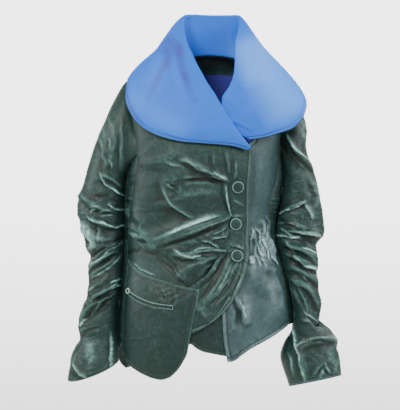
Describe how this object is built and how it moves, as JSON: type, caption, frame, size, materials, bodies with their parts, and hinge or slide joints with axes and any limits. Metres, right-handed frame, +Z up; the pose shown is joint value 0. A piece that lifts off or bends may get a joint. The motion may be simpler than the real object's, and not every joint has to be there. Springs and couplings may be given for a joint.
{
  "type": "velvet coat",
  "caption": "Short asymmetric velvet costume coat with a wide silk shawl collar, draped right front, ruched sleeves, flared cuffs and a large rounded patch pocket.",
  "frame": {"origin": "between the wearer's shoulders, inside the coat, where the wearer carries it", "axes": "+Z up, +X towards the wearer's left, +Y towards the wearer's back, so the coat faces -Y"},
  "size_m": [0.686, 0.2795, 0.9339],
  "materials": {
    "velvet": "crushed dark green silk velvet",
    "velvet_grey": "crushed grey-green silk velvet",
    "silk_blue": "shot silk, blue with violet",
    "silk_violet": "violet-blue silk facing"
  },
  "bodies": {
    "root": {"back": "velvet", "button_1": "velvet", "button_2": "velvet", "button_3": "velvet", "button_band": "velvet", "collar": "silk_blue", "cuff_left": "velvet", "cuff_lining_left": "silk_violet", "cuff_right": "velvet", "front_left": "velvet_grey", "front_right": "velvet", "front_right_skirt": "velvet", "pocket": "velvet", "pocket_ring": "velvet", "pocket_welt": "velvet", "side_left": "velvet", "side_right": "velvet", "sleeve_left": "velvet", "sleeve_right": "velvet", "under_collar": "velvet", "underlap": "velvet"}
  },
  "joints": []
}
